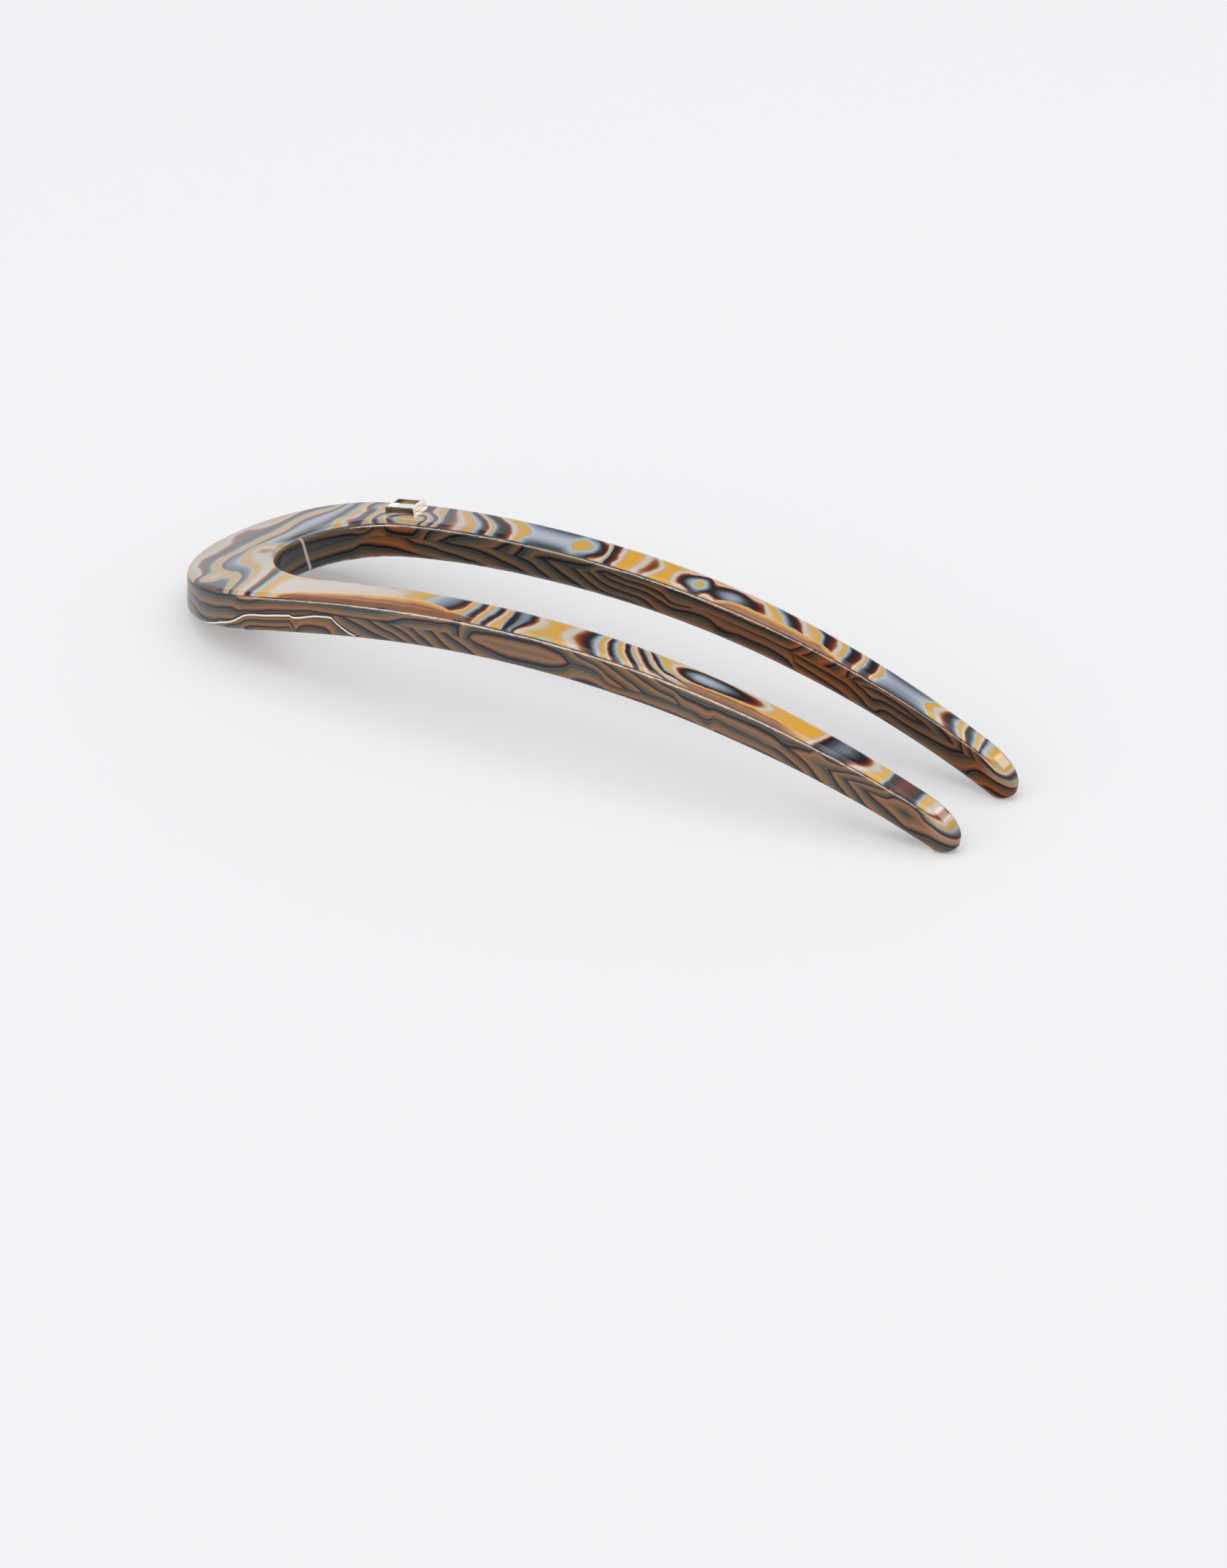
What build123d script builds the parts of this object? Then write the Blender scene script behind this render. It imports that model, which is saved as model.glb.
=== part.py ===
from build123d import *
import os
from math import asin, cos, degrees, radians, sin, sqrt, tan

# An arched hair fork, sawn from one thick sheet of laminated acetate, with a small
# metal plaque let into the top of one leg. It lies as it rests on a table: the head
# points to -X, the tips to +X, and the foot of the head and both tips stand at Z = 0.
# The origin is on the table, under the middle of the overall length and width.
# All lengths are in millimetres and all angles in degrees.

# The arch, seen from the side
overall_length = 131.2    # back of the head to the ends of the tips
crown_height = 18.1       # top of the arch above the table
crown_from_head = 68.1    # back of the head to the highest place of the arch

# Thickness of the sheet, square to its face: polishing thins it towards the tips
head_thickness = 6.3
crown_thickness = 5.75
tip_thickness = 5.45
edge_radius = 0.9         # polished round along every upper and lower edge

# The head and the slot, seen from above
head_width = 33.2         # widest place of the fork, across the head
head_depth = 21.3         # back of the head to its widest place
head_band = 14.75         # solid stretch from the back of the head to the slot
slot_width = 19.3         # widest place between the legs
slot_round = 14.1         # length of the rounded end of the slot
head_flare = 3.0          # how far the back of the head leans in above its foot

# The tips
tip_round = 2.9           # length of the rounded end of a tip
tip_width = 3.7           # width of a leg where that rounded end begins
tip_spacing = 16.6        # centre to centre of the legs there
tip_toe_in = 3.4          # how far each leg turns towards the other there
tip_lean = 9.0            # how far the end of a tip hangs out over its foot
nose_radius = 12.0        # rounding of the top of a leg down to the end of its tip
nose_slope = 56.0         # how steep that rounding is at the end
foot_radius = 2.7         # rounding of the underside of a tip, up to its end
foot_from_end = 2.3       # end of a tip to the place where it stands on the table

# The plaque, and its place on the leg at +Y
plaque_length = 5.0       # along the leg
plaque_width = 3.4        # across the leg
plaque_proud = 0.8        # how far it stands above the leg
plaque_rim = 0.55         # width of the raised rim
plaque_recess = 0.35      # depth of the floor inside the rim
plaque_bevel = 0.12       # bevel along the outer edge of the rim
plaque_from_head = 26.5   # back of the head to the middle of the plaque
plaque_from_side = 2.2    # widest place of the fork to the middle of the plaque
seat_depth = 0.6          # depth of the seat that is milled for it
seat_clearance = 0.05     # all round and under the plaque

# Sides of a leg between the head and the tip. Each row holds a share of the way from
# the widest place to the tip, and how much of the narrowing is reached there by the
# outer side and by the side that faces the slot.
leg_rows = [
    # way, outer, inner
    (0.25, 0.186, 0.210),
    (0.50, 0.409, 0.469),
    (0.75, 0.687, 0.703),
]

# Half sizes and places that follow from the above
half_length = overall_length / 2
head_centre_x = -half_length + head_depth
slot_centre_x = -half_length + head_band + slot_round
crown_x = -half_length + crown_from_head
end_run = overall_length - crown_from_head
foot_run = end_run - foot_from_end
crown_underside = crown_height - crown_thickness


def arch_radius(run, drop):
    """Radius of an arc that leaves the crown level and has dropped this far after this run."""
    return (run**2 + drop**2) / (2 * drop)


def arch_drop(radius, run):
    """How far such an arc has dropped after this run."""
    return radius - sqrt(radius**2 - run**2)


def corner_reach(first_angle, second_angle):
    """How far a sharp corner reaches past its rounding, in a direction that lies between the
    normals of the two faces, at these angles from them."""
    toward = cos(radians(first_angle)) + cos(radians(second_angle))
    return edge_radius * (toward / (1 + cos(radians(first_angle + second_angle))) - 1)


def upper_radius(run, slope, corner, thickness):
    """Radius of the top of the arch, which ends square to the end of the underside."""
    upper_run = run + thickness * sin(radians(slope))
    upper_drop = crown_height + corner - thickness * cos(radians(slope))
    return arch_radius(upper_run, upper_drop)


# Towards the head the underside is one arc. Its sharp end would reach below the table,
# and its rounded end touches it.
head_slope = degrees(asin(crown_from_head / arch_radius(crown_from_head, crown_underside)))
head_corner = corner_reach(90 + head_flare, head_slope)
head_run = crown_from_head + (edge_radius + head_corner) * tan(radians(head_flare))
head_under_radius = arch_radius(head_run, crown_underside + head_corner)
head_upper_radius = upper_radius(head_run, head_slope, head_corner, head_thickness)

# Towards the tips the underside is one arc too, and the rounding of the foot touches the table
tip_full_radius = arch_radius(foot_run, crown_underside)
tip_slope = degrees(asin(foot_run / tip_full_radius))
tip_corner = foot_radius * (1 - cos(radians(tip_slope)))
tip_under_radius = tip_full_radius - foot_radius
tip_upper_radius = upper_radius(foot_run, tip_slope, tip_corner, tip_thickness)

# The nose starts where an arc of its radius reaches its slope right above the end
nose_end_sine = sin(radians(nose_slope))
nose_start_sine = (end_run - nose_radius * nose_end_sine) / (tip_upper_radius - nose_radius)
nose_start_slope = asin(nose_start_sine)
nose_drop = nose_radius * (cos(nose_start_slope) - cos(radians(nose_slope)))
nose_end_height = crown_height - arch_drop(tip_upper_radius, tip_upper_radius * nose_start_sine)
nose_end_height -= nose_drop


def leg_side(start, end, column):
    """Points of one side of a leg, from its start to its end, in the first quadrant."""
    points = [start]
    for row in leg_rows:
        way, reached = row[0], row[column]
        x = start[0] + way * (end[0] - start[0])
        y = start[1] + reached * (end[1] - start[1])
        points.append((x, y))
    return points + [end]


def fork_outline(height):
    """The U seen from above, as it is at this height, because its two ends lean."""
    tip_end_x = half_length + corner_reach(tip_lean, 90 - nose_slope)
    tip_end_x += (height - nose_end_height) * tan(radians(tip_lean))
    along = (cos(radians(tip_toe_in)), -sin(radians(tip_toe_in)))
    across = (-along[1] * tip_width / 2, along[0] * tip_width / 2)
    centre = (tip_end_x - tip_round, tip_spacing / 2)
    outer_end = (centre[0] + across[0], centre[1] + across[1])
    inner_end = (centre[0] - across[0], centre[1] - across[1])
    depth = head_depth - (height - edge_radius) * tan(radians(head_flare))

    with BuildLine() as outline:
        EllipticalCenterArc((head_centre_x, 0), depth, head_width / 2, 90, arc_size=180)
        EllipticalCenterArc((slot_centre_x, 0), slot_round, slot_width / 2, 90, arc_size=180)
        for side in (1, -1):
            outer = leg_side((head_centre_x, head_width / 2), outer_end, 1)
            inner = leg_side((slot_centre_x, slot_width / 2), inner_end, 2)
            tangents = [(1, 0), (along[0], side * along[1])]
            Spline([(x, side * y) for x, y in outer], tangents=tangents)
            Spline([(x, side * y) for x, y in inner], tangents=tangents)
            EllipticalCenterArc(
                (centre[0], side * centre[1]),
                tip_round,
                tip_width / 2,
                -90,
                arc_size=180,
                rotation=-side * tip_toe_in,
            )
    return outline.edges()


def arch_point(crown_z, radius, run, direction):
    """A point of an arc of the arch, this far from the crown towards -X or +X."""
    return (crown_x + direction * run, crown_z - arch_drop(radius, run))


# The plane on top of the leg where the plaque sits
plaque_run = crown_from_head - plaque_from_head
plaque_slope = asin(plaque_run / head_upper_radius)
plaque_plane = Plane(
    origin=(
        -half_length + plaque_from_head,
        head_width / 2 - plaque_from_side,
        crown_height - arch_drop(head_upper_radius, plaque_run),
    ),
    x_dir=(cos(plaque_slope), 0, sin(plaque_slope)),
    z_dir=(-sin(plaque_slope), 0, cos(plaque_slope)),
)

# The fork: the U is sawn through the whole height, then kept only inside the arched sheet
spare = 3.0               # how far the sawn block and the sheet reach past each other
past_end = 0.15           # the same at the ends of the tips, where the sheet is rounded
with BuildPart() as acetate_fork:
    for height in (-spare, crown_height + spare):
        with BuildSketch(Plane.XY.offset(height)):
            make_face(fork_outline(height))
    loft(ruled=True)

    head_end = crown_from_head + spare
    nose_start = tip_upper_radius * nose_start_sine
    foot_start = tip_under_radius * sin(radians(tip_slope))
    nose_far_height = nose_end_height - past_end * tan(radians(nose_slope))
    nose_tangent = (cos(nose_start_slope), -nose_start_sine)
    foot_tangent = (cos(radians(tip_slope)), -sin(radians(tip_slope)))
    with BuildSketch(Plane.XZ):
        with BuildLine():
            upper_crown = (crown_x, crown_height)
            under_crown = (crown_x, crown_underside)
            upper_head = arch_point(crown_height, head_upper_radius, head_end, -1)
            under_head = arch_point(crown_underside, head_under_radius, head_end, -1)
            upper_leg_end = arch_point(crown_height, tip_upper_radius, nose_start, 1)
            under_leg_end = arch_point(crown_underside, tip_under_radius, foot_start, 1)
            nose_end = (half_length, nose_end_height)
            nose_far = (half_length + past_end, nose_far_height)
            foot_far = (half_length + past_end, arch_drop(foot_radius, foot_from_end + past_end))
            TangentArc(upper_crown, upper_head, tangent=(-1, 0))
            TangentArc(under_crown, under_head, tangent=(-1, 0))
            TangentArc(upper_crown, upper_leg_end, tangent=(1, 0))
            TangentArc(under_crown, under_leg_end, tangent=(1, 0))
            TangentArc(upper_leg_end, nose_end, tangent=nose_tangent)
            TangentArc(under_leg_end, foot_far, tangent=foot_tangent)
            Polyline(nose_end, nose_far, foot_far)
            Line(upper_head, under_head)
        make_face()
    extrude(amount=head_width, both=True, mode=Mode.INTERSECT)

    # Where the walls meet the faces of the sheet, every edge is a curve
    fillet(acetate_fork.edges().filter_by(GeomType.LINE, reverse=True), edge_radius)

    # The seat of the plaque
    with BuildSketch(plaque_plane.offset(-seat_depth)):
        Rectangle(plaque_length + 2 * seat_clearance, plaque_width + 2 * seat_clearance)
    extrude(amount=seat_depth + plaque_proud, mode=Mode.SUBTRACT)

# The plaque: a plain plate with a raised rim
with BuildPart() as metal_plaque:
    with BuildSketch(plaque_plane.offset(seat_clearance - seat_depth)):
        Rectangle(plaque_length, plaque_width)
    extrude(amount=seat_depth - seat_clearance + plaque_proud)
    top_face = metal_plaque.faces().sort_by(Axis(plaque_plane.origin, plaque_plane.z_dir))[-1]
    chamfer(top_face.edges(), plaque_bevel)
    with BuildSketch(plaque_plane.offset(plaque_proud)):
        Rectangle(plaque_length - 2 * plaque_rim, plaque_width - 2 * plaque_rim)
    extrude(amount=-plaque_recess, mode=Mode.SUBTRACT)

acetate_fork.part.label = "acetate_fork"
metal_plaque.part.label = "metal_plaque"

os.makedirs("parts", exist_ok=True)
export_step(acetate_fork.part, "parts/acetate_fork.step")
export_step(metal_plaque.part, "parts/metal_plaque.step")
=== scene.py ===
"""Dresses a hair fork of laminated acetate and its metal plaque for a studio picture."""

import math

import bmesh
import bpy
from bpy.props import FloatProperty, FloatVectorProperty, PointerProperty
from bpy.types import Node, NodeSocket, Operator, Panel, PropertyGroup
from mathutils import Matrix, Vector

bl_info = {
    "name": "Acetate Hair Fork",
    "version": (1, 0, 0),
    "blender": (4, 5, 0),
    "location": "3D View > Sidebar > Hair Fork",
    "description": "Finishes an acetate hair fork, its metal plaque and a small studio",
    "category": "Object",
}

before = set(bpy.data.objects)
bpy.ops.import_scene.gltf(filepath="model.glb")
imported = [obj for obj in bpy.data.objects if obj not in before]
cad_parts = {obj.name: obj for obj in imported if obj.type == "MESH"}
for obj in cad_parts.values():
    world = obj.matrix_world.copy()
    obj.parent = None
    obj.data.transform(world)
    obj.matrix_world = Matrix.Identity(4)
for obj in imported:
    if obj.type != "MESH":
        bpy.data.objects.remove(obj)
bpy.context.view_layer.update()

MM = 0.001

# The arched sheet, in mm, as the model has it
CROWN_X = 2.5
CROWN_Z = 18.1
HEAD_ARCH_RADIUS = 202.4
TIP_ARCH_RADIUS = 155.6

# The back of the head from above, in mm: the middle of its ellipse, its length and half width
HEAD_X, HEAD_DEPTH, HEAD_HALF = -44.3, 21.3, 16.6

# The rounded end of the slot in the same way, and how far its wall reaches past that ellipse
SLOT_X, SLOT_ROUND, SLOT_HALF = -36.75, 14.1, 9.65
SLOT_END_REACH = 1.12

# The depths between which the tables of the sawn sides run, in mm
SIDE_TOP, SIDE_BOTTOM = 0.5, 5.3

# The middle line and half width of a leg from above, in mm: at the slot's end and at the tip
LEG_START_X, LEG_END_X = -37.0, 62.7
LEG_START_Y, LEG_END_Y = 12.9, 8.3
LEG_START_HALF, LEG_END_HALF = 3.3, 1.85

# The stretch of x that the layer tables cover, in mm: a little more than the fork
TABLE_START, TABLE_END = -66.0, 66.0

# Where one look goes over into the next, in mm: each pair holds where that starts and where it
# is complete, across the fork from leg to leg and along it into the head and into the legs
LEG_TO_LEG = (-3.0, 3.0)
INTO_HEAD = (-44.5, -53.0)
INTO_LEG = (-48.0, -38.0)

# The same by how squarely a face looks out of the sheet, which is 1 on the flat and 0 on the
# sides: from side to flat, into the worn middle of the rounded edge, and into the full gloss
SIDE_TO_FLAT = (0.54, 0.68)
EDGE_FACING = 0.5
INTO_EDGE = (0.44, 0.3)
INTO_GLOSS = (0.06, 0.25)

# How far the layers in the head take on the curve of its back
HEAD_CURVE = 0.75

# The gloss, where 0.5 is what the refraction of the plastic gives. The sawn sides mirror less
# of the studio, and those of the far leg and of the slot's end least.
NEAR_SIDE_GLOSS, FAR_SIDE_GLOSS, FULL_GLOSS = 0.45, 0.12, 0.5

# The noses of the tips curve down from the sheet and show cut layers: the depths in mm where
# that sets in and where it ends
INTO_NOSE = (0.3, 0.42)
NOSE_BOTTOM = 3.0

# They are nearly as bright as the flat: where along the leg and at which depths, in mm, and
# how nearly
NOSE_STRETCH = (60.5, 63.0)
NOSE_DEPTHS = (3.2, 0.8)
NOSE_SHARE = 0.85

# The range that a noise texture mostly keeps to
NOISE_MIDDLE = (0.25, 0.75)

# The sheet is a stack of thin coloured layers that was folded and sawn. A layer's place in
# the stack is counted in repeats of the seven colours: a whole number is the black layer, and
# up from there come slate, pale blue, amber, pearl, russet and maroon. Each row holds a place
# along the leg in mm and the layer that shows there in the middle of the top.
HEAD_LAYERS = [
    (-66.0, -1.46), (-64.6, -1.4), (-63.2, -1.33), (-62.5, -1.14), (-62.0, -1.06),
    (-61.4, -0.93), (-60.7, -0.84), (-60.0, -0.62), (-59.3, -0.46), (-58.7, -0.4),
    (-58.1, -0.62), (-57.5, -0.93), (-56.9, -0.84),
]
FAR_LEG_LAYERS = HEAD_LAYERS + [
    (-55.8, -0.66), (-54.4, -0.72), (-53.0, -0.88), (-52.2, -0.94), (-51.0, -0.8),
    (-49.6, -0.72), (-48.4, -0.58), (-47.0, -0.42), (-45.6, -0.3), (-44.8, -0.1),
    (-44.3, -0.02), (-43.8, 0.03), (-43.2, 0.33), (-42.6, 0.5), (-42.0, 0.64),
    (-41.0, 0.7), (-36.5, 0.7), (-35.4, 0.85), (-34.8, 1.0), (-34.2, 0.94),
    (-33.6, 0.7), (-32.0, 0.52), (-31.3, 0.3), (-30.8, 0.05), (-30.2, -0.02),
    (-29.6, -0.08), (-28.0, -0.3), (-26.5, -0.48), (-25.0, -0.72), (-24.0, -1.0),
    (-23.6, -1.06), (-23.0, -1.3), (-22.2, -1.65), (-21.2, -1.94), (-20.6, -2.0),
    (-19.9, -2.06), (-18.7, -2.3), (-17.0, -2.48), (-15.0, -2.65), (-9.3, -2.63),
    (-8.3, -2.56), (-7.0, -2.48), (-5.7, -2.56), (-4.7, -2.66), (-4.0, -2.87),
    (-3.4, -3.0), (-2.9, -3.08), (-2.6, -3.3), (-2.2, -3.85), (-1.9, -4.0),
    (-1.2, -4.07), (-0.4, -4.3), (1.5, -4.5), (3.3, -4.32), (4.4, -4.15),
    (5.0, -4.1), (5.6, -4.15), (6.3, -4.3), (7.7, -4.49), (8.9, -4.3),
    (9.7, -4.12), (10.3, -4.0), (10.9, -3.85), (11.8, -3.66), (13.0, -3.52),
    (14.1, -3.68), (14.8, -3.87), (15.3, -3.96), (16.2, -3.86), (18.5, -3.7),
    (20.5, -3.86), (22.3, -4.0), (23.2, -4.06), (23.9, -4.13), (24.6, -4.3),
    (26.5, -4.48), (27.5, -4.68), (28.5, -4.9), (29.1, -5.0), (29.8, -5.06),
    (31.0, -5.32), (33.0, -5.5), (33.8, -5.86), (34.3, -6.0), (35.1, -6.07),
    (36.2, -6.32), (37.2, -6.5), (37.9, -6.84), (38.4, -7.0), (39.2, -7.08),
    (39.8, -7.35), (40.4, -7.62), (41.2, -7.94), (42.2, -8.07), (42.9, -8.45),
    (44.0, -8.66), (47.0, -8.7), (50.0, -8.65), (51.2, -8.5), (52.4, -8.3),
    (53.4, -8.12), (54.2, -8.0), (55.0, -7.86), (55.6, -7.66), (56.3, -7.5),
    (56.8, -7.28), (57.3, -7.0), (58.0, -6.86), (58.5, -6.66), (59.2, -6.5),
    (60.0, -6.0), (60.4, -5.72), (61.0, -5.6), (62.0, -5.53), (63.5, -5.5),
    (64.5, -5.3), (66.0, -5.0),
]
NEAR_LEG_LAYERS = HEAD_LAYERS + [
    (-56.0, -0.78), (-55.0, -0.64), (-53.8, -0.46), (-52.2, -0.34), (-50.0, -0.26),
    (-48.6, -0.13), (-47.4, -0.05), (-46.7, 0.08), (-45.3, 0.33), (-43.6, 0.5),
    (-42.0, 0.68), (-33.0, 0.72), (-24.0, 0.69), (-21.5, 0.61), (-19.8, 0.52),
    (-18.8, 0.44), (-17.8, 0.36), (-15.5, 0.25), (-14.2, 0.18), (-13.4, 0.08),
    (-12.9, -0.03), (-12.0, -0.1), (-11.7, -0.32), (-11.1, -0.5), (-10.3, -0.68),
    (-9.7, -0.88), (-9.3, -1.02), (-8.9, -1.12), (-8.3, -1.46), (-7.4, -1.66),
    (-6.9, -1.86), (-6.5, -2.0), (-6.1, -2.07), (-5.6, -2.3), (-4.9, -2.5),
    (-4.4, -2.66), (-3.9, -3.0), (-3.4, -2.84), (-2.4, -2.76), (-1.7, -2.84),
    (-1.4, -3.0), (-1.0, -3.07), (-0.6, -3.15), (0.0, -3.3), (2.0, -3.43),
    (2.9, -3.52), (4.0, -3.4), (5.3, -3.28), (6.7, -3.13), (7.3, -3.06),
    (7.9, -3.0), (8.5, -2.86), (9.3, -2.66), (10.4, -2.5), (11.0, -2.12),
    (11.4, -2.0), (11.8, -1.86), (12.4, -1.66), (13.0, -1.5), (13.5, -1.3),
    (14.0, -1.04), (14.4, -0.95), (15.2, -0.52), (16.2, -0.15), (16.8, 0.02),
    (17.6, 0.33), (18.2, 0.7), (18.9, 1.0), (19.6, 1.33), (20.4, 1.52),
    (21.5, 1.7), (22.3, 1.92), (22.9, 2.02), (24.0, 2.2), (26.0, 2.34),
    (29.0, 2.26), (31.5, 2.1), (33.0, 2.0), (34.2, 1.92), (35.2, 1.82),
    (36.4, 1.66), (37.6, 1.56), (41.5, 1.52), (43.2, 1.51), (44.6, 1.68),
    (45.0, 1.85), (45.4, 2.02), (46.3, 2.12), (47.8, 2.2), (49.5, 2.12),
    (50.6, 2.0), (51.2, 1.93), (51.9, 1.84), (52.8, 1.7), (53.8, 1.56),
    (54.6, 1.46), (54.9, 1.3), (55.2, 1.08), (55.9, 0.97), (57.0, 0.92),
    (58.4, 0.96), (59.4, 1.02), (59.9, 1.32), (60.5, 1.52), (61.6, 1.66),
    (62.6, 1.8), (63.4, 1.95), (66.0, 1.98),
]

# How the layers lie across a leg. Each row holds the place along the leg in mm, how far a
# layer is shifted towards the head at the outer side of the leg and away from it at the slot,
# how far both its ends trail the middle towards the head, and by how many repeats the layers
# step up at both sides.
FAR_LEG_LAY = [
    # along, slant, bow, step
    (-66.0, 0.0, 0.0, 0.0),
    (-37.0, 0.3, 0.2, 0.0),
    (-33.0, 0.6, 0.6, 0.0),
    (-29.0, 2.0, 1.8, 0.0),
    (-24.0, 2.8, 2.2, 0.0),
    (-20.0, 2.4, 1.2, -0.05),
    (-15.0, 0.8, 0.2, -0.3),
    (-10.0, 0.0, 0.2, -0.36),
    (-4.5, 0.0, 1.2, -0.3),
    (-1.5, 0.5, 0.3, 0.0),
    (1.5, 0.0, 0.6, 0.0),
    (5.0, 0.0, 1.0, -0.12),
    (8.0, 0.0, -0.8, -0.05),
    (11.0, 0.0, -1.0, -0.6),
    (14.0, 0.0, 0.0, -0.7),
    (20.0, 0.0, 0.3, -0.6),
    (23.5, 0.8, 1.4, -0.15),
    (28.0, 2.0, 0.3, 0.0),
    (33.0, 0.8, 0.6, 0.0),
    (38.0, 0.3, 0.4, 0.0),
    (41.5, 0.0, 0.5, 0.0),
    (44.0, 0.0, 0.0, -0.3),
    (49.0, 0.0, -0.5, -0.32),
    (53.5, 0.4, -1.2, -0.05),
    (57.5, 0.8, -0.4, 0.0),
    (60.5, 0.3, -0.2, 0.0),
    (66.0, 0.8, 0.0, 0.1),
]
NEAR_LEG_LAY = [
    # along, slant, bow, step
    (-66.0, 0.0, 0.0, 0.0),
    (-47.0, 0.0, 0.0, 0.0),
    (-42.0, 0.4, 0.0, -0.16),
    (-25.0, 0.8, 0.0, -0.16),
    (-21.0, 1.4, 0.0, -0.08),
    (-17.0, 2.0, 0.6, 0.0),
    (-13.0, 1.6, 1.2, 0.0),
    (-10.5, 0.2, 0.5, 0.0),
    (-8.5, 0.0, 0.2, 0.0),
    (-6.3, 0.2, 0.5, 0.0),
    (-3.9, -0.4, 0.1, 0.0),
    (-1.2, 0.2, 1.6, 0.0),
    (2.5, 0.0, 0.3, -0.06),
    (4.5, 0.0, -0.8, -0.06),
    (7.5, -0.4, -1.4, 0.0),
    (11.3, -0.9, -0.8, 0.0),
    (14.0, -1.6, -0.4, 0.0),
    (18.0, -2.6, 0.0, 0.0),
    (21.0, -1.6, -0.8, -0.6),
    (24.0, -0.4, -0.8, -1.1),
    (30.0, 0.0, 0.0, -1.0),
    (34.0, 0.4, 1.8, -0.6),
    (38.0, 0.4, 0.4, -0.15),
    (43.0, 0.5, 0.3, 0.05),
    (45.5, 0.5, 0.1, 0.0),
    (50.5, 0.0, 1.6, -0.1),
    (54.7, 0.0, 0.2, 0.0),
    (66.0, 0.4, 0.0, 0.0),
]

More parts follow.
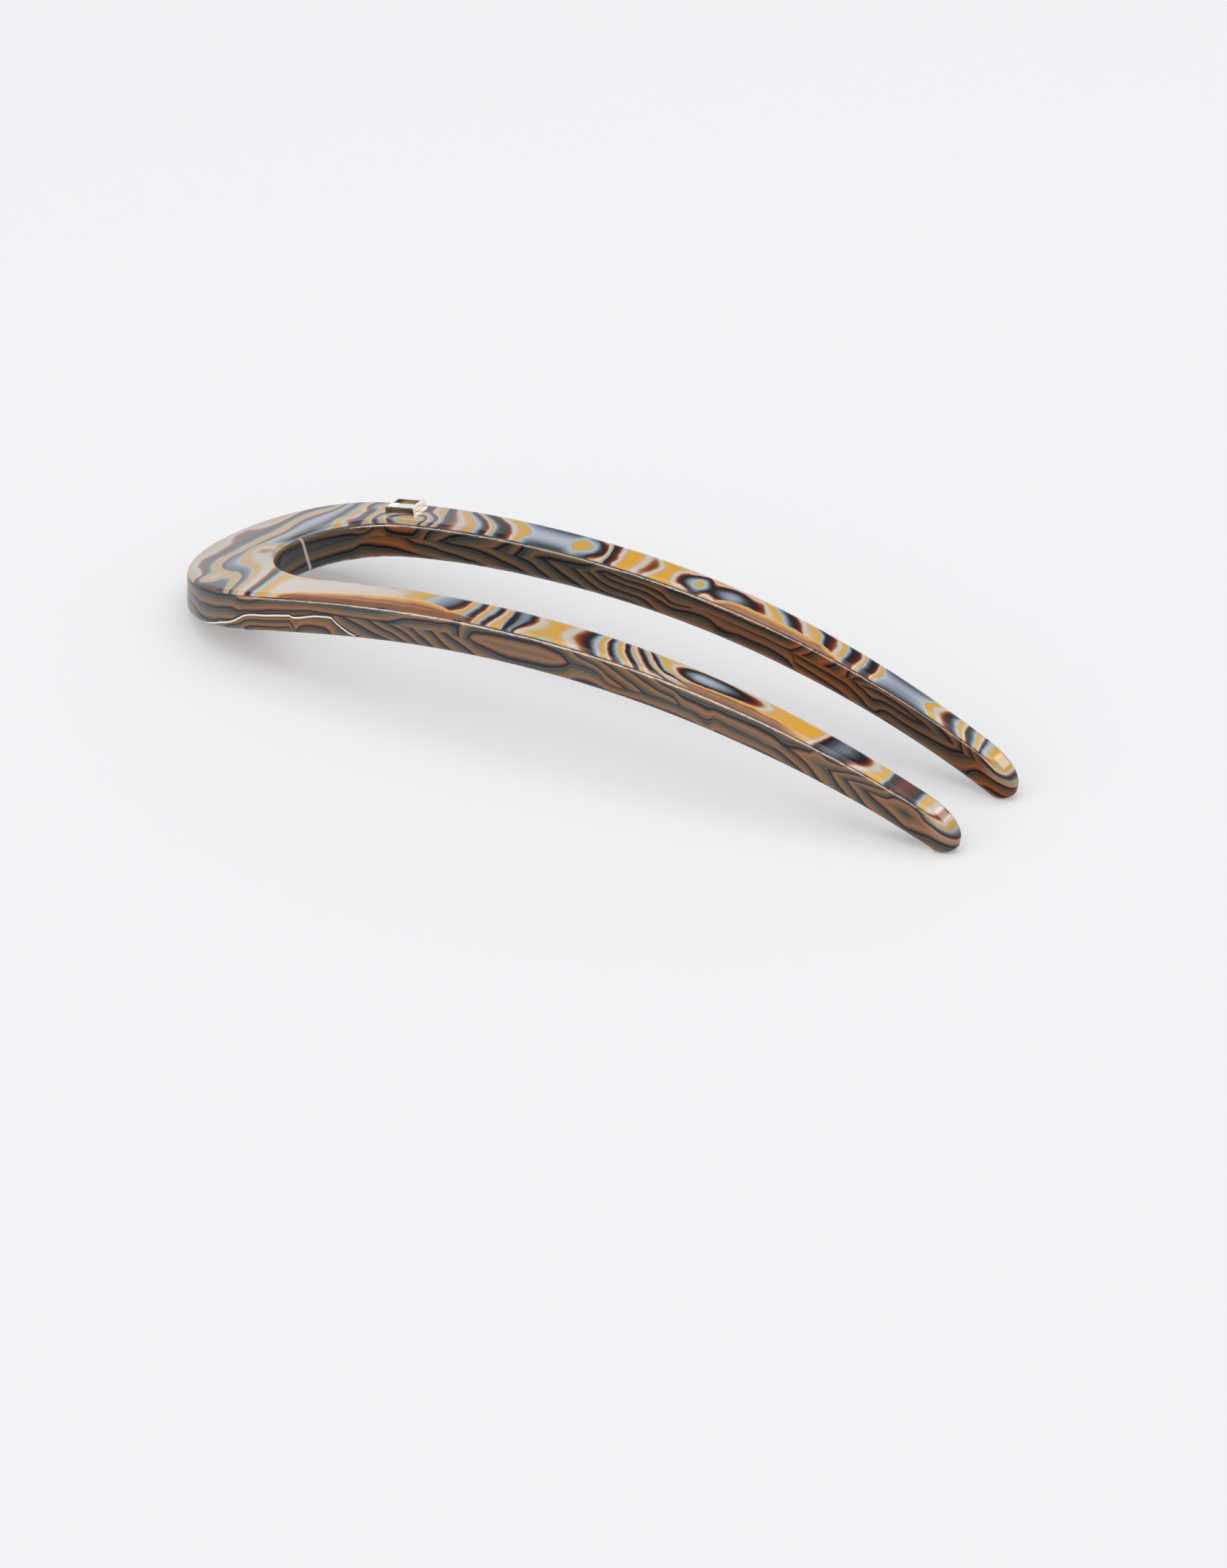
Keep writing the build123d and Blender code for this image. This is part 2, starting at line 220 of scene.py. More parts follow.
# How the layers run through the sawn sides of a leg. The sheet was folded on itself when it
# was pressed: each row holds the place along the leg and the depth of the fold, both in mm,
# then the layer right under the top edge, above the fold, under it and at the bottom edge,
# and how warm the plastic is there.
FAR_SIDE_LAYERS = [
    # along, fold, top, above, under, bottom, warmth
    (-66.0, 3.2, -0.4, 1.6, 11.7, 12.6, 0.0),
    (-62.0, 3.0, -0.35, 1.5, 11.6, 12.65, 0.3),
    (-55.0, 2.9, -0.4, 1.2, 11.4, 12.7, 0.2),
    (-50.9, 2.5, 0.62, 1.4, 11.05, 12.15, 0.0),
    (-48.5, 2.4, 0.55, 1.35, 11.1, 12.25, 0.0),
    (-46.0, 2.3, 0.45, 1.3, 11.15, 12.35, 0.0),
    (-44.3, 2.5, 0.4, 1.25, 11.25, 12.45, 0.1),
    (-43.0, 2.5, -0.3, 1.6, 11.5, 12.7, 0.2),
    (-41.5, 2.4, 0.7, 1.9, 11.45, 12.6, 0.4),
    (-40.5, 2.4, 1.0, 1.9, 11.4, 12.5, 0.6),
    (-39.0, 2.4, 0.65, 1.3, 11.35, 12.45, 0.8),
    (-37.0, 2.4, 0.5, 1.2, 11.2, 12.35, 0.8),
    (-35.0, 2.4, 0.6, 1.2, 10.75, 12.2, 0.6),
    (-33.8, 2.4, 1.0, 1.55, 10.55, 12.12, 0.3),
    (-33.0, 2.4, 1.3, 2.0, 10.45, 12.08, 0.2),
    (-31.0, 2.4, 2.0, 2.7, 10.2, 11.97, 0.1),
    (-30.0, 2.3, 2.2, 3.0, 10.0, 11.85, 0.1),
    (-27.5, 2.4, 2.75, 3.45, 9.88, 11.55, 0.1),
    (-25.0, 2.4, 2.9, 3.6, 9.75, 11.25, 0.1),
    (-22.0, 2.4, 3.05, 3.8, 9.55, 10.9, 0.1),
    (-20.0, 2.4, 3.5, 4.1, 9.35, 10.7, 0.2),
    (-18.0, 2.5, 3.85, 4.6, 9.12, 10.5, 0.2),
    (-17.0, 2.5, 4.2, 5.0, 9.0, 10.38, 0.1),
    (-15.0, 2.4, 5.0, 5.45, 8.7, 10.1, 0.0),
    (-13.0, 2.3, 5.4, 6.0, 8.2, 9.65, 0.0),
    (-12.0, 2.3, 5.45, 6.08, 8.0, 9.45, 0.0),
    (-10.0, 2.3, 5.5, 6.2, 7.6, 8.93, 0.0),
    (-7.0, 2.3, 5.5, 6.35, 7.0, 8.4, 0.0),
    (-4.5, 2.2, 5.6, 6.5, 6.05, 7.9, 0.1),
    (-3.2, 2.0, 5.85, 6.8, 5.4, 7.6, 0.2),
    (-2.5, 1.8, 6.1, 7.0, 5.0, 7.5, 0.2),
    (0.0, 2.1, 6.2, 7.4, 4.6, 7.35, 0.1),
    (2.5, 2.1, 5.8, 7.35, 4.5, 7.3, 0.1),
    (5.0, 2.1, 5.95, 7.4, 4.55, 6.9, 0.3),
    (6.5, 2.3, 6.1, 7.4, 4.6, 6.4, 0.5),
    (8.0, 2.5, 6.2, 7.3, 4.55, 6.05, 0.6),
    (9.0, 2.75, 5.8, 7.1, 4.55, 6.0, 0.4),
    (11.0, 3.05, 5.75, 7.0, 4.6, 5.95, 0.2),
    (12.5, 2.9, 5.72, 7.0, 4.65, 5.95, 0.2),
    (14.0, 2.6, 5.7, 6.85, 4.65, 5.95, 0.3),
    (16.0, 2.4, 5.65, 6.95, 4.55, 5.9, 0.4),
    (18.0, 2.4, 5.62, 6.95, 4.4, 5.35, 0.5),
    (20.0, 2.4, 5.6, 6.9, 4.2, 5.6, 0.5),
    (22.0, 2.45, 5.6, 7.0, 4.3, 5.78, 0.5),
    (26.0, 2.4, 5.75, 7.0, 4.3, 5.75, 0.5),
    (28.5, 2.35, 5.88, 7.0, 4.25, 5.55, 0.6),
    (29.8, 2.2, 6.0, 7.1, 4.1, 5.25, 0.8),
    (30.5, 2.1, 6.3, 7.3, 2.6, 5.05, 1.0),
    (31.7, 2.1, 6.95, 8.0, 2.55, 4.95, 1.0),
    (33.5, 2.1, 8.0, 8.5, 2.5, 4.8, 1.0),
    (35.5, 2.1, 8.5, 9.0, 2.45, 4.6, 1.0),
    (37.5, 2.1, 9.0, 9.6, 2.4, 4.35, 1.0),
    (38.8, 2.1, 9.75, 10.0, 2.35, 4.2, 0.9),
    (40.2, 1.9, 10.4, 11.3, 1.9, 3.95, 0.7),
    (41.5, 1.9, 10.8, 12.0, 1.62, 3.6, 0.5),
    (43.0, 1.9, 11.1, 12.3, 1.4, 3.25, 0.4),
    (44.2, 1.9, 11.3, 12.45, 1.55, 3.6, 0.3),
    (45.2, 1.9, 11.35, 12.5, 1.65, 4.15, 0.3),
    (48.0, 1.9, 11.35, 12.5, 1.7, 4.1, 0.3),
    (50.0, 1.9, 11.15, 12.3, 1.85, 4.05, 0.3),
    (52.0, 1.9, 11.0, 12.0, 2.15, 4.0, 0.3),
    (54.0, 1.9, 10.8, 11.5, 2.35, 4.0, 0.4),
    (56.0, 1.9, 10.55, 11.0, 2.6, 4.0, 0.5),
    (57.8, 1.9, 9.6, 9.9, 3.0, 4.1, 0.6),
    (59.2, 1.9, 8.6, 9.2, 3.25, 4.6, 0.8),
    (61.0, 1.9, 7.7, 8.6, 3.5, 5.2, 1.0),
    (62.5, 1.9, 7.45, 8.5, 3.5, 5.5, 1.0),
    (66.0, 1.9, 7.35, 8.45, 3.45, 5.6, 1.0),
]
NEAR_SIDE_LAYERS = [
    # along, fold, top, above, under, bottom, warmth
    (-66.0, 3.2, 5.6, 7.6, 7.7, 8.6, 0.0),
    (-60.0, 3.6, 5.85, 8.0, 8.05, 8.8, 0.0),
    (-57.0, 4.4, 5.9, 8.1, 8.15, 8.4, 0.1),
    (-55.0, 5.1, 5.95, 8.15, 8.15, 8.2, 0.2),
    (-52.0, 4.8, 5.9, 8.1, 8.1, 8.6, 0.1),
    (-50.0, 4.5, 5.95, 8.05, 8.1, 9.0, 0.1),
    (-48.5, 4.2, 5.92, 7.8, 8.05, 9.3, 0.2),
    (-47.3, 3.6, 5.6, 7.4, 8.0, 9.65, 0.6),
    (-46.0, 3.2, 5.5, 7.3, 8.0, 10.05, 0.7),
    (-44.0, 3.1, 5.8, 7.3, 8.0, 10.35, 0.8),
    (-42.0, 3.0, 5.93, 7.4, 8.0, 10.4, 0.9),
    (-38.4, 2.9, 5.93, 7.4, 8.0, 10.5, 0.9),
    (-37.9, 3.0, 5.9, 7.45, 8.0, 8.8, 1.0),
    (-37.3, 2.9, 5.9, 7.42, 8.0, 9.05, 1.0),
    (-36.0, 2.75, 5.9, 7.4, 8.0, 9.38, 1.0),
    (-34.5, 2.6, 5.88, 7.3, 8.0, 9.4, 1.0),
    (-33.0, 2.5, 5.88, 7.2, 8.0, 9.3, 1.0),
    (-32.0, 2.4, 5.88, 7.1, 8.0, 9.0, 0.9),
    (-30.5, 2.5, 5.87, 7.05, 7.4, 8.5, 0.6),
    (-29.5, 2.5, 5.86, 7.02, 7.0, 8.25, 0.3),
    (-28.0, 2.5, 5.86, 7.0, 6.6, 8.0, 0.2),
    (-25.5, 2.6, 5.85, 7.0, 6.0, 7.5, 0.1),
    (-22.5, 2.6, 6.1, 7.1, 5.0, 7.0, 0.1),
    (-20.0, 2.65, 6.3, 7.55, 4.35, 6.2, 0.2),
    (-18.7, 2.7, 6.42, 7.7, 4.0, 5.6, 0.3),
    (-17.0, 2.7, 6.48, 7.75, 3.45, 4.8, 0.3),
    (-15.5, 2.7, 6.5, 7.8, 3.0, 4.1, 0.4),
    (-14.0, 2.7, 6.5, 7.85, 2.4, 3.6, 0.4),
    (-13.0, 2.7, 6.6, 8.0, 2.0, 3.3, 0.4),
    (-12.0, 2.7, 6.8, 7.5, 1.75, 3.0, 0.4),
    (-11.0, 2.7, 7.0, 7.0, 1.5, 2.75, 0.3),
    (-10.0, 2.7, 6.6, 6.4, 1.28, 2.45, 0.3),
    (-9.0, 2.7, 6.45, 5.97, 0.97, 2.15, 0.4),
    (-7.8, 2.7, 6.38, 5.62, 0.64, 1.8, 0.5),
    (-4.0, 2.8, 6.22, 5.45, 0.48, 1.4, 0.4),
    (-2.0, 2.8, 6.24, 5.45, 0.48, 1.32, 0.4),
    (2.0, 2.8, 6.22, 5.46, 0.5, 1.32, 0.4),
    (4.6, 2.8, 6.33, 5.55, 0.56, 1.45, 0.7),
    (6.4, 2.8, 6.6, 5.82, 0.82, 1.75, 0.7),
    (7.4, 2.7, 6.98, 6.05, 1.05, 1.98, 0.3),
    (9.0, 2.6, 7.6, 6.0, 1.0, 2.1, 0.3),
    (10.6, 2.7, 7.95, 6.1, 1.0, 2.15, 0.5),
    (12.0, 3.3, 8.15, 6.2, 1.0, 2.1, 0.8),
    (14.0, 4.1, 8.6, 6.5, 1.0, 2.05, 1.0),
    (17.0, 3.9, 9.35, 7.3, 1.0, 2.1, 0.8),
    (20.0, 3.5, 9.9, 8.15, 1.0, 2.1, 0.6),
    (23.0, 3.4, 10.55, 8.3, 1.0, 2.1, 0.5),
    (25.0, 3.4, 10.52, 9.35, 1.0, 2.1, 0.4),
    (27.0, 3.5, 10.5, 9.4, 1.0, 1.85, 0.5),
    (28.4, 3.8, 10.5, 9.4, 1.0, 1.55, 0.7),
    (29.5, 3.1, 10.48, 9.38, 1.0, 2.0, 0.6),
    (32.0, 3.15, 10.44, 9.35, 1.0, 2.08, 0.5),
    (36.0, 3.4, 10.36, 9.35, 1.0, 2.08, 0.4),
    (38.4, 3.7, 10.4, 9.4, 1.0, 2.0, 0.4),
    (39.3, 2.6, 10.5, 9.75, 0.3, 1.9, 0.5),
    (40.2, 2.5, 10.48, 9.95, 0.0, 1.7, 0.6),
    (41.5, 2.5, 10.48, 9.8, -0.2, 1.4, 0.8),
    (43.4, 2.5, 10.46, 9.5, -0.5, 1.0, 1.0),
    (44.1, 2.5, 10.35, 9.42, -0.58, 0.6, 0.8),
    (44.5, 2.5, 10.0, 9.35, -0.62, 0.4, 0.5),
    (45.2, 2.5, 9.98, 9.25, -0.72, 0.15, 0.5),
    (46.8, 2.5, 10.35, 9.0, -1.0, -0.2, 0.5),
    (48.0, 2.5, 10.38, 8.55, -1.45, -0.6, 0.5),
    (49.2, 2.5, 10.02, 8.0, -2.0, -0.9, 0.4),
    (50.5, 2.5, 9.5, 7.5, -2.5, -1.3, 0.4),
    (52.0, 2.55, 9.1, 7.0, -3.0, -1.75, 0.5),
    (54.0, 2.6, 8.6, 6.65, -3.35, -2.2, 0.7),
    (55.6, 2.6, 8.0, 6.5, -3.5, -2.45, 0.8),
    (57.0, 2.5, 7.2, 6.25, -3.75, -2.55, 0.9),
    (58.3, 2.5, 7.14, 6.0, -4.0, -2.6, 1.0),
    (59.5, 2.5, 7.12, 6.25, -3.75, -2.6, 1.0),
    (60.6, 2.5, 7.35, 6.42, -3.58, -2.55, 0.9),
    (62.0, 2.5, 7.9, 6.52, -3.48, -2.4, 0.8),
    (66.0, 2.5, 7.8, 6.6, -3.4, -1.9, 0.6),
]

# A thin pearl layer between two dark ones, in the near side of the head: the place along the
# leg and the depth, in mm. Past both its ends it lies below the sheet.
PEARL_LINE = [
    (-66.0, 7.5), (-58.5, 6.9), (-56.8, 6.0), (-54.6, 5.45), (-52.0, 5.05),
    (-49.3, 4.65), (-47.7, 4.0), (-46.5, 3.55), (-43.7, 3.22), (-38.5, 3.02),
    (-38.0, 3.38), (-35.5, 3.05), (-31.9, 2.78), (-30.9, 3.5), (-29.8, 4.35),
    (-28.8, 5.0), (-27.6, 5.55), (-26.0, 7.5), (66.0, 7.5),
]

# Places in the flat of the sheet where the layers bulge: the middle of the bulge and its half
# length and half width, in mm, and by how many repeats
BULGES = [
    # x, y, half length, half width, repeats
    (-54.0, -1.0, 3.2, 2.2, 0.3),
    (-46.5, 9.3, 2.4, 1.5, 0.22),
    (-36.8, 10.9, 5.6, 2.8, 1.8),
    (-44.5, 14.5, 2.6, 1.6, 0.3),
    (-56.6, -11.4, 2.6, 2.0, 0.55),
]

# A bulge is whole up to the first share of its half size and gone at the second
BULGE_FADE = (0.15, 1.25)

# Along the upper edge that faces the camera side the layers turn down and show as long warm
# bands: the place along the leg and the width of these bands, in mm
FAR_EDGE_BANDS = [
    (-66.0, 0.0), (-31.0, 0.3), (14.0, 0.4), (18.0, 1.2), (24.0, 1.9),
    (32.0, 1.7), (37.0, 0.8), (42.0, 0.4), (66.0, 0.4),
]
NEAR_EDGE_BANDS = [
    (-66.0, 0.0), (-47.0, 0.0), (-43.0, 1.1), (-35.0, 1.9), (-25.0, 2.6),
    (-20.0, 2.9), (-16.0, 2.2), (-12.0, 1.2), (-8.0, 0.5), (20.0, 0.4),
    (26.0, 0.9), (34.0, 1.2), (40.0, 0.8), (46.0, 0.4), (66.0, 0.4),
]

# Their colours over their width, from the edge inwards, where in it they fade out, and the
# widths in mm between which they come in
EDGE_COLOURS = [
    (0.0, "7d5238"), (0.3, "9a6a48"), (0.46, "7a5040"), (0.6, "b87a42"),
    (0.8, "cf9a4c"), (1.0, "d6b282"),
]
BAND_FADE = (1.15, 0.9)
BAND_WIDTHS = (0.45, 0.9)

# The colours of one repeat of the layers, seen on the flat of the sheet
FLAT_COLOURS = [
    (0.0, "1d1a1f"), (0.06, "232228"), (0.15, "4b525c"), (0.27, "878f9b"),
    (0.36, "acb4be"), (0.42, "b09f6d"), (0.51, "d69c2c"), (0.59, "c0a070"),
    (0.68, "c5bcb4"), (0.77, "c3b2a6"), (0.84, "965829"), (0.905, "642819"),
    (0.96, "3a1819"), (1.0, "1d1a1f"),
]

# A milky grey painted over them in the head and in the far leg next to it, a painted reflection
# that dulls them: its strength in both, and the stretch in mm over which it comes in along the
# leg
MILKY_REFLECTION = "787372"
REFLECTION_IN_HEAD, REFLECTION_IN_LEG = 0.42, 0.24
INTO_REFLECTION = (-18.0, -30.0)

# The same repeat on the sawn and polished sides, where a second, thinner dark line shows, and
# the factor that makes up for their tints
SIDE_COLOURS = [
    (0.0, "060607"), (0.04, "0c0c10"), (0.09, "3b4149"), (0.17, "565b60"),
    (0.215, "1d1d20"), (0.26, "535049"), (0.42, "6a5e48"), (0.56, "786045"),
    (0.68, "8b705c"), (0.81, "7f5c44"), (0.9, "503828"), (0.955, "140f0f"),
    (1.0, "060607"),
]
SIDE_BRIGHTNESS = 1.82

# Tints of the sawn sides, where the plastic is cool and where it is warm. The far leg's tints are
# darker, which paints the shade that falls on its sides.
NEAR_TINTS = ("abafb4", "c4a68a")
FAR_TINTS_AND_SHADE = ("8c9090", "bd875c")

# The pearl line: the colours and their strength, from so many mm above it to as many under it
PEARL_REACH = 0.5
PEARL_COLOURS = [
    (0.0, "18171b", 0.0),
    (0.12, "18171b", 1.0),
    (0.33, "18171b", 1.0),
    (0.4, "e6d8c8", 1.0),
    (0.6, "e6d8c8", 1.0),
    (0.68, "5a4a3c", 0.5),
    (0.8, "5a4a3c", 0.0),
]

# A pale streak painted across the end of the slot as a painted reflection, in mm: its y at the
# top, how much that grows with the depth, the half widths where it begins and where it is full,
# and the x up to which it shows
STREAK_REFLECTION = "c3ad9f"
STREAK_Y, STREAK_LEAN = 3.2, 0.19
STREAK_FADE = (0.22, 0.1)
STREAK_BEFORE = -45.0

# The plaque: the dark brown-grey painted on its long sides as shade, how far sideways they face
# and how much rougher they are; how much the haze takes from the roughness and adds to it; and
# how dense the polishing strokes are along X, Y and Z, and how strong
SIDE_SHADE_COLOUR = "5e5248"
LONG_SIDE = (0.75, 0.9)
LONG_SIDE_ROUGHER = 0.12
HAZE = (-0.04, 0.06)
STROKES_PER_MM = (0.6, 14.0, 14.0)
STROKE_STRENGTH = 0.12

# The table: half its side in metres, its roughness and the colour of the light from below
TABLE_TOP_HALF = 3.0
FLOOR_ROUGHNESS = 0.7
UNDERLIGHT = "fdfdff"

# The height of the camera's picture, in mm
PICTURE_HEIGHT = 36.0

# The white studio behind the fork, by the sine of the height: 0 is level and 1 straight up. In
# front it has one colour, and the pair says how far ahead the one goes over into the other.
SKY_BEHIND = [
    (0.0, "dcdcde"), (0.3, "d8d8da"), (0.38, "868686"), (0.46, "606264"),
    (0.75, "606264"), (0.9, "a0a0a0"),
]
SKY_IN_FRONT = "d6d7d8"
BEHIND_TO_FRONT = (-0.15, 0.35)

# The softboxes: the setting that holds the power, the sides and the place in metres, and
# whether the polished faces mirror them
SOFTBOXES = [
    ("overhead_softbox", "overhead_power", (1.2, 1.2), (0.05, 0.0, 1.1), True),
    ("back_softbox", "back_power", (0.7, 0.7), (0.3, 0.65, 0.95), True),
    ("front_fill", "fill_power", (1.4, 1.0), (-0.75, -0.8, 0.8), False),
]

# The lights that only draw highlights: the share of their power, the sides and the place, in
# metres. The two low strips in front draw the line along the edges, and the gap between them
# keeps them out of the plaque, which would mirror them. The small one behind lights the noses
# and one end of the plaque.
HIGHLIGHT_COLOUR = "fff0e4"
HIGHLIGHTS = [
    ("front_strip", 0.84, (0.64, 0.18), (-0.251, -0.907, 0.132)),
    ("side_strip", 0.16, (0.25, 0.116), (-0.652, -0.687, 0.0745)),
    ("nose_light", 0.06, (0.17, 0.24), (0.47, 0.8, 0.56)),
]


def linear(hex_colour, alpha=1.0):
    """An sRGB hex colour as linear RGB with its alpha."""
    channels = [int(hex_colour[i : i + 2], 16) / 255 for i in (0, 2, 4)]
    rgb = [c / 12.92 if c <= 0.04045 else ((c + 0.055) / 1.055) ** 2.4 for c in channels]
    return rgb + [alpha]


def add(tree, kind, inputs=(), operation=None, **settings):
    """Adds a node with its settings, and fills or links its inputs by order or by name."""
    made = tree.nodes.new("ShaderNode" + kind)
    if operation:
        made.operation = operation
    for name, value in settings.items():
        setattr(made, name, value)
    pairs = inputs.items() if isinstance(inputs, dict) else enumerate(inputs)
    for key, value in pairs:
        if isinstance(value, Node):
            value = value.outputs[0]
        if isinstance(value, NodeSocket):
            tree.links.new(value, made.inputs[key])
        elif value is not None:
            made.inputs[key].default_value = value
    return made


def new_material(name):
    """An empty node material with its output and a principled shader."""
    material = bpy.data.materials.new(name)
    material.use_nodes = True
    tree = material.node_tree
    tree.nodes.clear()
    shader = add(tree, "BsdfPrincipled")
    add(tree, "OutputMaterial", {"Surface": shader})
    return material, tree, shader


def dress(node, material):
    """Gives a node of the model its material."""
    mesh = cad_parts[node].data
    mesh.materials.clear()
    mesh.materials.append(material)


def place_in_mm(tree):
    """The place on the part, in mm."""
    space = add(tree, "TexCoord")
    return add(tree, "VectorMath", (space.outputs["Object"], (1 / MM,) * 3), "MULTIPLY")


def ramp_colour(tree, value, rows):
    """The colour that a table of places and colours has for a value."""
    ramp = add(tree, "ValToRGB", (value,))
    stops = ramp.color_ramp.elements
    while len(stops) < len(rows):
        stops.new(1.0)
    for stop, (place, *colour) in zip(stops, rows):
        stop.position = place
        stop.color = linear(*colour)
    return ramp


def fill_curve(curve, rows, column, low, high):
    """Gives a curve node the points of one column of a table, squeezed into 0 to 1 both ways."""
    points = curve.mapping.curves[0].points
    while len(points) < len(rows):
        points.new(0.5, 0.5)
    for point, row in zip(points, rows):
        point.location = (
            (row[0] - TABLE_START) / (TABLE_END - TABLE_START),
            (row[column] - low) / (high - low),
        )
        point.handle_type = "AUTO_CLAMPED"
    curve.mapping.update()


def curves(tree, along, rows):
    """The columns of a table as smooth values, from the place along the fork."""
    place = add(tree, "MapRange", [along, TABLE_START, TABLE_END])
    values = []
    for column in range(1, len(rows[0])):
        low = min(row[column] for row in rows)
        high = max(row[column] for row in rows)
        curve = add(tree, "FloatCurve", {"Value": place})
        fill_curve(curve, rows, column, low, high)
        values.append(add(tree, "MapRange", [curve, 0.0, 1.0, low, high]))
    return values


def spread_noise(tree, place, length, detail, low, high):
    """Soft noise of this size in mm, between two values."""
    noise = add(tree, "TexNoise", {"Vector": place, "Scale": 1 / length, "Detail": detail})
    return add(tree, "MapRange", [noise.outputs["Fac"], *NOISE_MIDDLE, low, high], clamp=False)


def blend(tree, factor, first, second):
    """One of two values, or a mix of them."""
    return add(tree, "Mix", [factor, None, first, second]).outputs[0]


def blend_colour(tree, factor, first, second, how="MIX"):
    """One of two colours, or a mix of them."""
    inputs = {"Factor": factor, 6: first, 7: second}
    return add(tree, "Mix", inputs, data_type="RGBA", blend_type=how).outputs[2]


def from_middle(tree, place, x, y, length, width):
    """How far a place is from the middle of an ellipse, which itself is at 1."""
    scaled = add(
        tree,
        "VectorMath",
        (place, (1 / length, 1 / width, 0.0), (-x / length, -y / width, 0.0)),
        "MULTIPLY_ADD",
    )
    return add(tree, "VectorMath", (scaled,), "LENGTH").outputs["Value"]


def sheet_place(tree, x, z):
    """Depth under the top of the arched sheet in mm, and how squarely a face looks out of it."""
    on_tip_side = add(tree, "Math", (x, CROWN_X), "GREATER_THAN")
    radius = add(tree, "MapRange", [on_tip_side, 0.0, 1.0, HEAD_ARCH_RADIUS, TIP_ARCH_RADIUS])
    centre_z = add(tree, "Math", (CROWN_Z, radius), "SUBTRACT")
    from_centre_x = add(tree, "Math", (x, CROWN_X), "SUBTRACT")
    from_centre_z = add(tree, "Math", (z, centre_z), "SUBTRACT")
    from_centre = add(tree, "CombineXYZ", (from_centre_x, 0.0, from_centre_z))
    distance = add(tree, "VectorMath", (from_centre,), "LENGTH")
    depth = add(tree, "Math", (radius, distance.outputs["Value"]), "SUBTRACT")
    square = add(tree, "VectorMath", (from_centre,), "NORMALIZE")
    geometry = add(tree, "NewGeometry")
    facing = add(tree, "VectorMath", (geometry.outputs["Normal"], square), "DOT_PRODUCT")
    facing = add(tree, "Math", (facing.outputs["Value"],), "ABSOLUTE")
    return depth, facing


class Spot:
    """What the look of the acetate depends on at one spot, as outputs of its nodes."""

    def __init__(self, tree, settings):
        self.settings = settings
        self.place = place_in_mm(tree)
        self.x, self.y, z = add(tree, "SeparateXYZ", (self.place,)).outputs
        self.depth, self.facing = sheet_place(tree, self.x, z)

        # The slot's end belongs to the far leg. The layers of the sides change at once from one
        # leg to the other, and all else blends.
        self.to_far_leg = add(
            tree, "MapRange", [self.y, *LEG_TO_LEG], interpolation_type="SMOOTHSTEP"
        )
        from_slot = from_middle(tree, self.place, SLOT_X, 0.0, SLOT_ROUND, SLOT_HALF)
        self.slot_end = add(tree, "Math", (from_slot, SLOT_END_REACH), "LESS_THAN")
        far_half = add(tree, "Math", (self.y, 0.0), "GREATER_THAN")
        self.far_layers = add(tree, "Math", (far_half, self.slot_end), "MAXIMUM")
        self.far_look = add(tree, "Math", (self.to_far_leg, self.slot_end), "MAXIMUM")

        # The layers waver a little everywhere
        waver = settings.waver_height
        self.waver = spread_noise(tree, self.place, settings.waver_length, 2.0, -waver, waver)


def flat_share(tree, spot):
    """1 on the flat of the sheet, and 0 on its sawn sides and on the noses of the tips."""
    flat = add(tree, "MapRange", [spot.facing, *SIDE_TO_FLAT], interpolation_type="SMOOTHSTEP")
    on_nose = add(tree, "MapRange", [spot.depth, *INTO_NOSE])
    above_foot = add(tree, "Math", (spot.depth, NOSE_BOTTOM), "LESS_THAN")
    on_nose = add(tree, "Math", (on_nose, above_foot), "MULTIPLY")
    off_nose = add(tree, "Math", (1.0, on_nose), "SUBTRACT")
    return add(tree, "Math", (flat, off_nose), "MULTIPLY")


def flat_layer(tree, along, across, layers, lay):
    """The layer that shows on top of a leg, from the place along it and across it."""
    slant, bow, step = curves(tree, along, lay)
    across_squared = add(tree, "Math", (across, across), "MULTIPLY")
    slanted = add(tree, "Math", (slant, across, along), "MULTIPLY_ADD")
    bowed = add(tree, "Math", (bow, across_squared, slanted), "MULTIPLY_ADD")
    (layer,) = curves(tree, bowed, layers)
    return add(tree, "Math", (step, across_squared, layer), "MULTIPLY_ADD")


def bulges(tree, place):
    """How far the bulges lift the layers of the flat sheet at a place in mm."""
    lift = 0.0
    for *ellipse, repeats in BULGES:
        bulge = add(
            tree,
            "MapRange",
            [from_middle(tree, place, *ellipse), *BULGE_FADE, repeats, 0.0],
            interpolation_type="SMOOTHSTEP",
        )
        lift = add(tree, "Math", (bulge, lift), "ADD")
    return lift


def edge_bands(tree, spot, along, across, half_width, colour):
    """Lays the warm bands along the edge on the camera's side over a colour."""
    camera_side = add(tree, "MapRange", [spot.to_far_leg, 0.0, 1.0, 1.0, -1.0])
    outwards = add(tree, "Math", (camera_side, across), "MULTIPLY")
    inwards = add(tree, "Math", (1.0, outwards), "SUBTRACT")
    inwards = add(tree, "Math", (inwards, half_width), "MULTIPLY")
    inwards = add(tree, "Math", (inwards, spot.waver), "ADD")
    (far_width,) = curves(tree, along, FAR_EDGE_BANDS)
    (near_width,) = curves(tree, along, NEAR_EDGE_BANDS)
    width = blend(tree, spot.to_far_leg, near_width, far_width)
    share = add(tree, "Math", (inwards, width), "DIVIDE")
    band = ramp_colour(tree, share, EDGE_COLOURS)
    strength = add(tree, "MapRange", [share, *BAND_FADE], interpolation_type="SMOOTHSTEP")
    wide = add(tree, "MapRange", [width, *BAND_WIDTHS])
    strength = add(tree, "Math", (strength, wide), "MULTIPLY")
    return blend_colour(tree, strength, colour, band)


